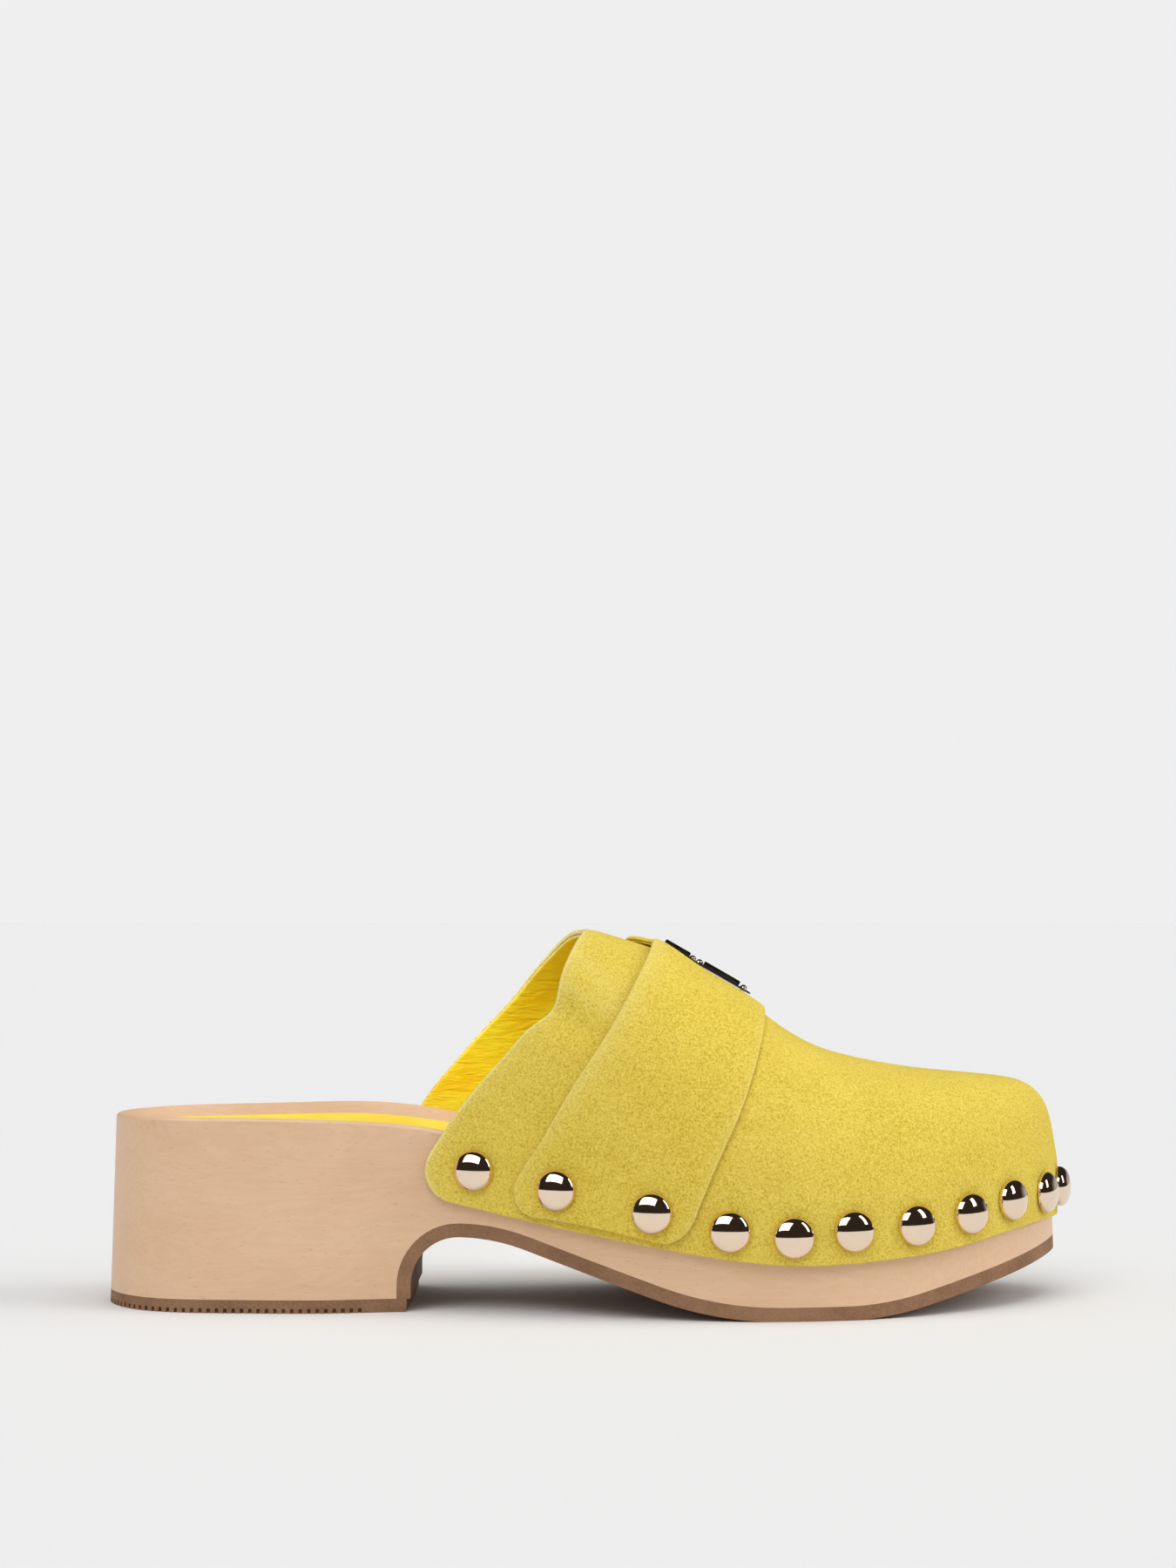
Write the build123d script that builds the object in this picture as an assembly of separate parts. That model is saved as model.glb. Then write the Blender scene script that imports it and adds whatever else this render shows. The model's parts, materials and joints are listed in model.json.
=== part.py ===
from build123d import *
import math
import os

# Right-foot women's clog, EU 38. Millimetres.
# The shape is laid out from the back of the heel: X to the toe, Y to the inner (medial)
# side of the foot, Z up from the floor. It is moved once, at the end, so that the origin
# is the centre of the bounding box's bottom face.

# ---------------------------------------------------------------- driving dimensions
HEEL_RADIUS = 29.0
HEEL_BACK = 1.6
FLARE = 0.032               # the walls lean in by this much per mm of height
FLARE_LEVEL = 25.0          # height at which the plan outline is true
RIM_RISE = 2.2              # the rim of the waist stands higher by this much,
OUTER_SHARE = -0.6          # times this share far out on the outer side
INNER_SHARE = 1.6           # and this one far out on the inner side
SHARE_Y = 60.0
WAIST_X = 80.0
WAIST_REACH = 30.0
RIM_ROUND = 0.9
RUBBER = 3.5                # thickness of the outsole
LIFT = 3.4                  # thickness of the heel lift
LIFT_LENGTH = 80.0
BREAST = 81.0               # front face of the heel block
ARCH_HEIGHT = 19.1          # top of the arch ahead of the heel
ARCH_X = 102.4
ARCH_SLOPE = 19.0           # degrees, from the arch down to the tread
TREAD_END = 201.1           # where the underside starts to rise to the toe
TOE_SPRING = 14.0           # degrees
WALK_RADII = (12.5, 50.0, 94.0, 89.0)
NOTCH_PITCH = 2.13
NOTCH_WIDTH = 0.9
NOTCH_HEIGHT = 1.2
NOTCH_DEPTH = 1.0

HEEL_DISH = 7.0             # how far the footbed sinks below its rim under the heel
TOE_DISH = 4.0
DISH_POWER = 4
DISH_REACH = 27.0           # distance from the rim at which the footbed is flat
RIM_LAND = 1.6
DISH_CHANGE = (80.0, 150.0)  # the dish grows shallower between these places
SOCK_MARGIN = 8.6           # bare wood between the rim and the sock lining
SOCK = 1.0
FOAM = 1.5
FOAM_INSET = 0.4

LINING = 0.8                # leather layers, counted outwards from the wood
PUFF = 0.5
SUEDE_OUT = 2.2
STRAP_BACK = 0.5
STRAP_OUT = 3.8
CREST_GROWTH = 1.1          # the ridge rises by this much for each mm of leather
COLLAR_SKEW = 0.16          # the inner side of the collar sits further back
ARCH_CHANGE = (150.0, 220.0)  # the upper's sections turn from instep to toe between these
ARCH_POWER = (2.15, 2.6)    # their squareness
ARCH_SPRING = (36.0, 20.0)  # and the height at which their straight legs end
PUFF_START = 216.0

STUD_DIA = 10.2
STUD_RISE = 3.1
STUD_GAP = 0.15
NAIL_DIA = 1.6
NAIL_INTO_WOOD = 5.5
NAIL_POINT = 1.5

ORNAMENT_SLOPE = 30.0
ORNAMENT_LENGTH = 27.0
ORNAMENT_WIDTH = 6.4
ORNAMENT_GAP = 0.25
PLATE = 0.5
BAR = 1.2
BAR_WIDTH = 4.6
BAR_CHAMFER = 0.4
REAR_BAR = (-9.0, 7.4)      # centre along the plate, length
FRONT_BAR = (4.3, 10.6)
BEAD_X = -2.15
RIVETS = {"rear": -4.2, "front": 11.2}
RIVET_HEAD = 1.0
RIVET_STEM = 0.6

SIDE = 70.0                 # half the width of shapes that run right across
OVER_ALL = 125.0            # a height above the whole clog

# Plan outline of the wood at FLARE_LEVEL, after the round heel: outer side, toe, inner side.
OUTER_SIDE = [(38, -29), (60, -29.3), (82, -26.2), (100, -29.3), (122, -36.4),
              (145, -42.4), (165, -44.6), (185, -43.2), (205, -37.2), (222, -27.5)]
TOE = [(236.6, -14.6), (246.6, 0.6), (250.5, 13), (248.2, 24.6), (239.8, 33)]
INNER_SIDE = [(225, 38.6), (206, 42), (184, 42.8), (163, 39.6), (143, 33.6), (122, 27.4),
              (102, 24.4), (80, 25.8), (60, 28.8), (38, 28.8)]

# Side views: (x, z).
RIM = [(-20, 49.3), (10, 49.3), (50, 49.2), (78, 47.5), (97, 44.5), (118, 38.7), (142, 32.4),
       (161, 28.6), (177, 27.2), (193, 27.5), (209, 28.8), (224, 30.8), (240, 33.2), (270, 37.5)]
UPPER_EDGE = [(66, 32.5), (84, 29.5), (102, 25.8), (131, 20.3), (150, 17.1), (169, 14.5),
              (181, 13.9), (198, 14.7), (218, 16.9), (239, 20.7), (258, 21.4)]
COLLAR = [(126.4, 98.5), (122.3, 93.5), (117.6, 87.5), (113, 79), (106.1, 71.2), (96.3, 60.7),
          (87.7, 50), (81.6, 41.5), (80.2, 35.9), (82, 31), (86.5, 28.1)]
STRAP_REAR = [(142.2, 93), (137.5, 80.6), (131.5, 69.8), (124.5, 59.2), (114.8, 42.7),
              (109.6, 35), (108.6, 30.5), (111.2, 26.4)]
STRAP_FRONT = [(146.5, 20), (150, 21.7), (152.4, 25.6), (159.2, 40.3), (164.4, 52.5),
               (169.2, 65), (171.6, 74), (173.2, 82)]

# Arches of the upper: x, outer y, inner y, height of the suede's ridge.
ARCHES = [(55, -30, 30, 97), (80, -30, 29, 98), (105, -33, 28, 98.5), (126, -39.5, 30.5, 97.3),
          (137, -42.5, 33.5, 94.4), (146, -44.5, 36, 91.2), (157, -46, 39, 84.9),
          (168, -46.5, 42, 78.5), (177, -46.5, 43.5, 71.8), (185, -46, 44.5, 67.2),
          (195, -44, 45, 63.8), (212, -38, 43.5, 60.9), (228, -31, 40, 59.3),
          (240, -28, 37, 58), (252, -26, 35, 52.5), (262, -25, 34, 43)]

# Nails: distance round the plan outline from the heel's back along the outer side, height.
OUTER_NAILS = [(113, 36.2), (135.7, 32.0), (160, 27.0), (178.9, 22.5), (194.4, 21.0),
               (209.4, 22.3), (226.2, 23.2), (243.0, 25.3), (258.4, 27.8), (276.1, 28.4),
               (290, 28.7), (305, 28.7)]
INNER_NAILS = [(320.8, 28.0), (336, 25.6), (351.2, 23.6), (366.4, 22.5), (381.6, 21.8),
               (396.8, 22.8), (416, 27.0), (441.5, 31.8), (472, 37.2)]
STRAP_NAILS = (2, 3, 19, 20)


# ---------------------------------------------------------------- shared shapes
def plan_points():
    """Points of the plan outline, from the heel's back along the outer side."""
    centre = HEEL_BACK + HEEL_RADIUS
    heel = [(centre - HEEL_RADIUS * math.cos(math.radians(a)),
             -HEEL_RADIUS * math.sin(math.radians(a))) for a in (0, 28, 56)]
    back = [(x, -y) for x, y in reversed(heel[1:])]
    return heel + OUTER_SIDE + TOE + INNER_SIDE + back


BASE_OUTLINE = Edge.make_spline([Vector(x, y) for x, y in plan_points()], periodic=True)


def outward(run):
    """Place on the base outline, and the outward direction there, at a distance along it."""
    place = BASE_OUTLINE.position_at(run, position_mode=PositionMode.LENGTH)
    along = BASE_OUTLINE.tangent_at(run, position_mode=PositionMode.LENGTH)
    return place, Vector(along.Y, -along.X).normalized()


def outline(step_out, z):
    """The plan outline moved outwards, at height z, with the walls' flare."""
    grow = step_out + FLARE * (FLARE_LEVEL - z)
    points = []
    for x, y in plan_points():
        near = Vector(x, y)
        run = BASE_OUTLINE.param_at_point(near) * BASE_OUTLINE.length
        points.append(near + outward(run)[1] * grow)
    return Pos(0, 0, z) * Face(Wire([Edge.make_spline(points, periodic=True)]))


def prism(step_out, low, high):
    """Everything inside the plan outline between two heights."""
    return loft([outline(step_out, low), outline(step_out, high)], ruled=True)


def side_face(edges, y):
    """A face in the plane of the side view, from edges drawn in X and Z."""
    return Plane.XZ.offset(-y) * make_face(edges)


def side_slab(edges):
    """A side view extruded right across the clog."""
    return extrude(side_face(edges, -SIDE), amount=-2 * SIDE)


def close_up(curve, corners):
    """Edges that close a side-view curve through further corners."""
    points = [curve @ 1] + [Vector(*c) for c in corners] + [curve @ 0]
    return [curve] + [Line(a, b) for a, b in zip(points, points[1:])]


# ---------------------------------------------------------------- wood and rubber
def walking_line(shift, high):
    """Underside from the heel breast to the toe, moved up by shift, closed at the height high."""
    down = math.radians(ARCH_SLOPE)
    up = math.radians(TOE_SPRING)
    floor_x = ARCH_X + ARCH_HEIGHT / math.tan(down)
    back = shift * math.tan(down / 2)
    ahead = shift * math.tan(up / 2)
    end_x = 275.0
    end_z = (end_x - TREAD_END) * math.tan(up) + shift / math.cos(up)
    breast_r, crown_r, ball_r, toe_r = WALK_RADII
    path = FilletPolyline(
        (BREAST - shift, LIFT),
        (BREAST - shift, ARCH_HEIGHT + shift),
        (ARCH_X + back, ARCH_HEIGHT + shift),
        (floor_x + back, shift),
        (TREAD_END - ahead, shift),
        (end_x, end_z),
        radius=[breast_r + shift, crown_r + shift, ball_r - shift, toe_r - shift],
    )
    behind = -12.0
    return close_up(path, [(end_x, high), (behind, high), (behind, LIFT)])


def waist_rise(x, share):
    """How much higher the rim stands near the waist."""
    return share * RIM_RISE * math.exp(-((x - WAIST_X) / WAIST_REACH) ** 2)


def rim_edges(share):
    """Side view of everything below the rim, the waist standing higher by its share."""
    lifted = [(x, z + waist_rise(x, share)) for x, z in RIM]
    return close_up(Spline(*lifted), [(RIM[-1][0], 0), (RIM[0][0], 0)])


def below_rim():
    """Everything below the footbed's rim, whose height changes from side to side."""
    outer = side_face(rim_edges(OUTER_SHARE), -SHARE_Y)
    inner = side_face(rim_edges(INNER_SHARE), SHARE_Y)
    return loft([outer, inner], ruled=True)


def plan_distance(x, y):
    """Distance of a place inside the plan outline from that outline, negative outside."""
    place = Vector(x, y)
    gap = BASE_OUTLINE.distance_to(place)
    return gap if PLAN_BODY.is_inside(place) else -gap


PLAN_BODY = Pos(0, 0, -0.5) * Solid.extrude(Face(Wire([BASE_OUTLINE])), Vector(0, 0, 1))
RIM_LINE = Spline(*RIM)


def rim_height(x, y):
    """Height of the rim surface over a place."""
    low, high = 0.0, 1.0
    for _ in range(30):
        middle = (low + high) / 2
        if (RIM_LINE @ middle).X < x:
            low = middle
        else:
            high = middle
    share = ((INNER_SHARE + OUTER_SHARE) + (INNER_SHARE - OUTER_SHARE) * y / SHARE_Y) / 2
    return (RIM_LINE @ low).Y + waist_rise(x, share)


def blend(x, ends):
    """Smooth step from 0 to 1 between two places."""
    t = min(max((x - ends[0]) / (ends[1] - ends[0]), 0.0), 1.0)
    return t * t * (3 - 2 * t)


def dish_height(x, y):
    """Height of the sunk footbed over a place: steep by the rim, flat in the middle."""
    inside = plan_distance(x, y) - RIM_LAND
    left = max(1 - inside / DISH_REACH, 0.0)
    depth = HEEL_DISH + (TOE_DISH - HEEL_DISH) * blend(x, DISH_CHANGE)
    return rim_height(x, y) - depth * (1 - left ** DISH_POWER)


def footbed_sheet():
    """The footbed as one smooth face over the whole plan."""
    back, outer, length, width = -6.0, -50.0, 262.0, 97.0
    columns, rows = 52, 26
    xs = [back + length * i / columns for i in range(columns + 1)]
    ys = [outer + width * i / rows for i in range(rows + 1)]
    grid = [[Vector(x, y, dish_height(x, y)) for y in ys] for x in xs]
    return Face.make_surface_from_array_of_points(grid, tol=0.05, min_deg=3, max_deg=5)


FOOTBED = footbed_sheet()


def above_footbed(lift, height):
    """Everything from lift above the footbed up to height more."""
    return Pos(0, 0, lift) * Solid.extrude(FOOTBED, Vector(0, 0, height))


def wooden_sole():
    body = prism(0, 0, 60) & side_slab(walking_line(RUBBER, 80)) & below_rim()
    body = body - above_footbed(0, 60)
    rim = max(body.edges().filter_by(GeomType.BSPLINE), key=lambda edge: edge.length)
    return fillet(rim, RIM_ROUND)


def outsole():
    band = side_slab(walking_line(0, 80)) - side_slab(walking_line(RUBBER, 80))
    return band & prism(0, -1, 60)


def heel_lift():
    """Rubber lift under the heel, its lower edge notched all round."""
    body = prism(0, 0, LIFT) & Pos(LIFT_LENGTH - SIDE, 0, 0) * Box(2 * SIDE, 2 * SIDE, 20)
    notches = []
    count = int((LIFT_LENGTH + 4) / NOTCH_PITCH)
    for i in range(-count, count + 1):
        place, out = outward((i * NOTCH_PITCH) % BASE_OUTLINE.length)
        edge = place + out * (FLARE * FLARE_LEVEL)
        if edge.X < LIFT_LENGTH - 1.5:
            turn = math.degrees(math.atan2(out.Y, out.X))
            cutter = Box(2 * NOTCH_DEPTH, NOTCH_WIDTH, 2 * NOTCH_HEIGHT)
            notches.append(Pos(edge.X, edge.Y, 0) * Rot(0, 0, turn) * cutter)
    return body - notches


def foam_pad():
    return above_footbed(0, FOAM) & prism(-SOCK_MARGIN - FOAM_INSET, 0, 70)


def sock_lining():
    return above_footbed(FOAM, SOCK) & prism(-SOCK_MARGIN, 0, 70)


# ---------------------------------------------------------------- the upper
def arch(x, outer_y, inner_y, ridge, step_out):
    """Upright section of the upper at x: a rounded arch on straight legs."""
    middle = (outer_y + inner_y) / 2
    half = (inner_y - outer_y) / 2 + step_out
    start, end = ARCH_CHANGE
    toe_share = min(max((x - start) / (end - start), 0.0), 1.0)
    power = ARCH_POWER[0] + (ARCH_POWER[1] - ARCH_POWER[0]) * toe_share
    spring = ARCH_SPRING[0] + (ARCH_SPRING[1] - ARCH_SPRING[0]) * toe_share
    rise = ridge + CREST_GROWTH * (step_out - SUEDE_OUT) - spring
    points = []
    for i in range(13):
        a = math.pi * i / 12
        c = math.cos(a)
        across = math.copysign(abs(c) ** (2 / power), c)
        points.append((middle - half * across, spring + rise * math.sin(a) ** (2 / power)))
    top = Spline(*points, tangents=[(0, 1), (0, -1)])
    foot = -6.0
    legs = Polyline((middle + half, spring), (middle + half, foot), (middle - half, foot),
                    (middle - half, spring))
    return Plane.YZ.offset(x) * make_face([top, legs])


def foot_shape(step_out, low):
    """The inside of the upper, stepped outwards: the walls of the plan under rounded arches."""
    arches = loft([arch(*row, step_out) for row in ARCHES])
    return prism(step_out, low, 112) & arches


def upper_cut():
    """Side views that trim the upper: collar, rear corners and lower edge."""
    collar = Spline(*COLLAR)
    low, ahead = 8.0, 280.0
    top_x = COLLAR[0][0]
    edges = close_up(collar, [(100, low), (ahead, low), (ahead, OVER_ALL), (top_x, OVER_ALL)])
    face = Pos(COLLAR_SKEW * SIDE, 0, 0) * side_face(edges, -SIDE)
    reach = 2 * SIDE * math.hypot(1, COLLAR_SKEW)
    skewed = extrude(face, amount=reach, dir=(-COLLAR_SKEW, 1, 0))
    lower = Spline(*UPPER_EDGE)
    over = [(UPPER_EDGE[-1][0], OVER_ALL), (UPPER_EDGE[0][0], OVER_ALL)]
    return skewed & side_slab(close_up(lower, over))


def strap_cut():
    """Side view of the strap: nearly straight edges and rounded lower corners."""
    rear = Spline(*STRAP_REAR)
    front = Spline(*STRAP_FRONT)
    top_front, top_rear = (174.5, OVER_ALL), (141.0, OVER_ALL)
    edges = [rear, front, Line(rear @ 1, front @ 0), Line(front @ 1, top_front),
             Line(top_front, top_rear), Line(top_rear, rear @ 0)]
    return side_slab(edges)


# ---------------------------------------------------------------- nails and ornament
def nail(run, z, step_out):
    """Dome-headed nail through the leather into the wood, square to the wall."""
    place, out = outward(run % BASE_OUTLINE.length)
    lean = math.atan(FLARE)
    axis = Vector(out.X * math.cos(lean), out.Y * math.cos(lean), math.sin(lean))
    seat = place + out * (step_out + STUD_GAP + FLARE * (FLARE_LEVEL - z)) + Vector(0, 0, z)
    ball = (STUD_DIA ** 2 / 4 + STUD_RISE ** 2) / (2 * STUD_RISE)
    cap = Pos(0, 0, STUD_RISE - ball) * Sphere(ball) & Pos(0, 0, 5) * Box(20, 20, 10)
    reach = NAIL_INTO_WOOD + step_out
    shank = Pos(0, 0, -reach / 2) * Cylinder(NAIL_DIA / 2, reach)
    point = Pos(0, 0, -reach - NAIL_POINT / 2) * Rot(180, 0, 0) * Cone(NAIL_DIA / 2, 0.1, NAIL_POINT)
    where = Plane(origin=seat, z_dir=axis)
    return where * (cap + shank + point)


def ornament_frame():
    """Frame on the ridge of the strap: X down the slope to the toe, Z out of the leather."""
    x, outer_y, inner_y, ridge = ARCHES[6]
    top = ridge + CREST_GROWTH * (STRAP_OUT - SUEDE_OUT)
    slope = math.radians(ORNAMENT_SLOPE)
    return Plane(origin=(x, (outer_y + inner_y) / 2, top + ORNAMENT_GAP),
                 x_dir=(math.cos(slope), 0, -math.sin(slope)),
                 z_dir=(math.sin(slope), 0, math.cos(slope)))


def ornament():
    """Plain metal bar ornament: base plate, two bars, a bead and two end rivets."""
    frame = ornament_frame()
    reach = STRAP_OUT - SUEDE_OUT - 0.1
    plate = extrude(SlotOverall(ORNAMENT_LENGTH, ORNAMENT_WIDTH), PLATE)
    dome = Sphere(RIVET_HEAD) & Pos(0, 0, 2) * Box(4, 4, 4)
    stem = Pos(0, 0, (PLATE - reach) / 2) * Cylinder(RIVET_STEM, PLATE + reach)
    pieces = {"ornament_bead": Pos(BEAD_X, 0, PLATE) * dome}
    stems = []
    for name, (centre, length) in (("rear", REAR_BAR), ("front", FRONT_BAR)):
        bar = Box(length, BAR_WIDTH, BAR)
        bar = chamfer(bar.faces().sort_by(Axis.Z)[-1].edges(), BAR_CHAMFER)
        pieces[f"ornament_bar_{name}"] = Pos(centre, 0, PLATE + BAR / 2) * bar
        place = Pos(RIVETS[name], 0, 0)
        pieces[f"ornament_rivet_{name}"] = place * (Pos(0, 0, PLATE) * dome + stem)
        stems.append(place * stem)
    pieces["ornament_plate"] = plate - stems
    clinch = Box(ORNAMENT_LENGTH - 0.6, ORNAMENT_WIDTH - 1.4, 12)
    placed = {name: frame * piece for name, piece in pieces.items()}
    return placed, [frame * s for s in stems], frame * clinch


# ---------------------------------------------------------------- assembly
def build():
    nodes = {"wooden_sole": wooden_sole(), "outsole": outsole(), "heel_lift": heel_lift()}
    nodes["foam_pad"] = foam_pad()
    nodes["sock_lining"] = sock_lining()

    inner = foot_shape(0, -1)
    lined = foot_shape(LINING, -2)
    puffed = foot_shape(LINING + PUFF, -2)
    sueded = foot_shape(SUEDE_OUT, -3)
    backed = foot_shape(SUEDE_OUT + STRAP_BACK, -3)
    strapped = foot_shape(STRAP_OUT, -4)
    trim = upper_cut()
    band = strap_cut()
    toe_zone = Pos(PUFF_START + SIDE, 0, 45) * Box(2 * SIDE, 2 * SIDE, 50)
    nodes["vamp_lining"] = (lined - inner) & trim
    nodes["toe_puff"] = (puffed - lined) & trim & toe_zone
    nodes["vamp"] = ((sueded - lined) & trim) - nodes["toe_puff"]
    nodes["strap_lining"] = (backed - sueded) & band
    nodes["strap"] = (strapped - backed) & band

    pieces, stems, clinch = ornament()
    nodes.update(pieces)
    nodes["ornament_clinch_plate"] = (nodes["strap_lining"] & clinch) - stems
    nodes["strap_lining"] = nodes["strap_lining"] - clinch
    nodes["strap"] = nodes["strap"] - stems

    holes = {"wooden_sole": [], "vamp_lining": [], "vamp": [], "toe_puff": [],
             "strap_lining": [], "strap": []}
    for i, (run, z) in enumerate(OUTER_NAILS + INNER_NAILS, start=1):
        layer = STRAP_OUT if i in STRAP_NAILS else SUEDE_OUT
        stud = nail(run, z, layer)
        nodes[f"stud_{i:02d}"] = stud
        for name, cuts in holes.items():
            if i in STRAP_NAILS or not name.startswith("strap"):
                cuts.append(stud)
    for name, cuts in holes.items():
        nodes[name] = nodes[name] - cuts
    return nodes


if __name__ == "__main__":
    os.makedirs("parts", exist_ok=True)
    made = build()
    box = Compound(children=[Compound(s.solids()) for s in made.values()]).bounding_box()
    home = Pos(-(box.min.X + box.max.X) / 2, -(box.min.Y + box.max.Y) / 2, -box.min.Z)
    print("moved by", home.position)
    for name, shape in made.items():
        export_step(home * shape, f"parts/{name}.step")
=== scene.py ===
import json
import math

import bmesh
import bpy
import numpy as np
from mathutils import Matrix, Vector


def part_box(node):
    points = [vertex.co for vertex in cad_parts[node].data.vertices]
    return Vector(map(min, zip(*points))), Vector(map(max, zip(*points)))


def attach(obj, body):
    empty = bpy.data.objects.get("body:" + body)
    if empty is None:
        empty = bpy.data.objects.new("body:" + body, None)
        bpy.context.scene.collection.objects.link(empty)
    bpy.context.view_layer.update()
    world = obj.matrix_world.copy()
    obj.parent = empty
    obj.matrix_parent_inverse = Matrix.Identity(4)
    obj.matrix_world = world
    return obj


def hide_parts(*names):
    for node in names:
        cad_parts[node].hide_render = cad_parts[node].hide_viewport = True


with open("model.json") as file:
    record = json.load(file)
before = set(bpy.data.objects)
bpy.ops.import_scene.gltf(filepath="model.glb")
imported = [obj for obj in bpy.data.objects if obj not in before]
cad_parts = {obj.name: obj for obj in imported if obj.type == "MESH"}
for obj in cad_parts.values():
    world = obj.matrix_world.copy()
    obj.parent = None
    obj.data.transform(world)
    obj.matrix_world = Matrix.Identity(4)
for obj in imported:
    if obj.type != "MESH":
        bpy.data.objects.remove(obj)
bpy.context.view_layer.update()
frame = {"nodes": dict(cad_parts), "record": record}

# The shapes are laid out in millimetres in the clog's own layout frame: x from the back of the
# heel to the toe, y to the inner side of the foot, z up from the floor. The heel's rest mount
# ties that layout to the row frame.
MM = 0.001
HEEL_REST_X = 35.0
rest = next(m for m in frame["record"]["mounts"] if m["name"] == "heel_rest")["pos_m"]
SHIFT = np.array([rest[0] / MM - HEEL_REST_X, rest[1] / MM, 0.0])

# ---------------------------------------------------------------- plan and side views, mm
HEEL_RADIUS = 29.0
HEEL_BACK = 1.6
FLARE = 0.032                 # the walls lean in by this much per mm of height
FLARE_LEVEL = 25.0            # height at which the plan outline is true
OUTER_SIDE = [(38, -29), (60, -29.3), (82, -26.2), (100, -29.3), (122, -36.4),
              (145, -42.4), (165, -44.6), (185, -43.2), (205, -37.2), (222, -27.5)]
TOE = [(236.6, -14.6), (246.6, 0.6), (250.5, 13), (248.2, 24.6), (239.8, 33)]
INNER_SIDE = [(225, 38.6), (206, 42), (184, 42.8), (163, 39.6), (143, 33.6), (122, 27.4),
              (102, 24.4), (80, 25.8), (60, 28.8), (38, 28.8)]
RIM = [(-20, 49.3), (10, 49.3), (50, 49.2), (78, 47.5), (97, 44.5), (118, 38.7), (142, 32.4),
       (161, 28.6), (177, 27.2), (193, 27.5), (209, 28.8), (224, 30.8), (240, 33.2), (270, 37.5)]
UPPER_EDGE = [(66, 32.5), (84, 29.5), (102, 25.8), (131, 20.3), (150, 17.1), (169, 14.5),
              (181, 13.9), (198, 14.7), (218, 16.9), (239, 20.7), (258, 21.4)]
RIDGE = [(60, 97.0), (90, 98.4), (112, 98.6), (126.4, 97.3), (137, 94.3), (146, 91.2),
         (157, 84.9), (168, 78.3), (177, 71.8), (185, 67.2), (192, 64.7), (202, 62.4),
         (212, 60.7), (222, 59.5), (232, 58.6), (240, 58.1), (252, 57.4)]
NEAR_COLLAR = [(126.4, 97.3), (124.6, 94.6), (120.8, 88.1), (118.9, 82.6), (117.3, 77.6),
               (115.4, 75.0), (111.1, 71.4), (106, 65.8), (101.4, 60.7), (96.8, 55.3),
               (92.6, 50), (89.3, 45.1), (86.2, 40.5), (84.8, 35.9), (86.6, 31), (91, 28.1)]
FAR_COLLAR = [(126.4, 97.3), (121.4, 94.6), (116.2, 90.2), (110.9, 84.4), (105.6, 77.9),
              (100.3, 72.3), (95, 66.7), (89.6, 60.5), (84.3, 54.3), (80.6, 49), (77.4, 43),
              (76.2, 38), (78, 33.2), (82.4, 29.8)]
NEAR_STRAP_REAR = [(141.9, 92.6), (140.9, 87.4), (137.6, 80.6), (131.5, 69.8), (124.5, 59.2),
                   (119.4, 50.8), (114.8, 42.7), (110.3, 35.6), (108.6, 31), (110, 26.9),
                   (114, 24.9)]
FAR_STRAP_REAR = [(141.9, 92.6), (137.6, 91.6), (134.2, 86.8), (130.6, 79.4), (126.4, 69.8),
                  (121.6, 59.2), (117.6, 50.8), (113.6, 42.7), (109.6, 35.6), (108.2, 31),
                  (109.8, 26.9), (114, 24.9)]
STRAP_FRONT = [(170.4, 76.4), (170, 73.6), (168.2, 65.2), (164.4, 52.5), (159.2, 40.8),
               (155.4, 31.8), (153.4, 26.6), (151.6, 22.9), (149, 20.4), (146.4, 19.4), (144, 19.6)]

# Leather layers, as distances outwards from the wood's walls.
LINING = 0.8
SUEDE_OUT = 2.2
STRAP_BACK = 0.5
STRAP_OUT = 3.8


# ---------------------------------------------------------------- curves
def spline(points, count=None, periodic=False):
    """Cubic spline through points, spaced by chord length, sampled at count places."""
    p = np.array(points, float)
    if periodic:
        p = np.vstack([p, p[:1]])
    h = np.linalg.norm(np.diff(p, axis=0), axis=1)
    t = np.concatenate([[0], np.cumsum(h)])
    n = len(p)
    a = np.zeros((n, n))
    b = np.zeros((n, p.shape[1]))
    for i in range(1, n - 1):
        a[i, i - 1:i + 2] = h[i - 1], 2 * (h[i - 1] + h[i]), h[i]
        b[i] = 6 * ((p[i + 1] - p[i]) / h[i] - (p[i] - p[i - 1]) / h[i - 1])
    if periodic:
        a[0, 0], a[0, -1] = 1, -1
        a[-1, 0], a[-1, 1], a[-1, -2] = 2 * (h[0] + h[-1]), h[0], h[-1]
        b[-1] = 6 * ((p[1] - p[0]) / h[0] - (p[0] - p[-2]) / h[-1])
    else:
        a[0, 0] = a[-1, -1] = 1
    m = np.linalg.solve(a, b)
    u = np.linspace(0, t[-1], count or 40 * n)
    i = np.clip(np.searchsorted(t, u, side="right") - 1, 0, n - 2)
    w = (u - t[i])[:, None]
    hi = h[i][:, None]
    return (m[i] * (hi - w) ** 3 / (6 * hi) + m[i + 1] * w ** 3 / (6 * hi)
            + (p[i] / hi - m[i] * hi / 6) * (hi - w) + (p[i + 1] / hi - m[i + 1] * hi / 6) * w)


def height_of(points):
    """Side-view curve as a function from x to z."""
    line = spline(points, 800)
    return lambda x: np.interp(x, line[:, 0], line[:, 1])


def smooth(x, low, high):
    """0 below low, 1 above high, with an even blend between them."""
    t = np.clip((np.asarray(x, float) - low) / (high - low), 0, 1)
    return t * t * (3 - 2 * t)


def bump_at(d, width):
    """A rounded hump of height 1 at distance 0."""
    return np.exp(-(d / width) ** 2)


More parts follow.
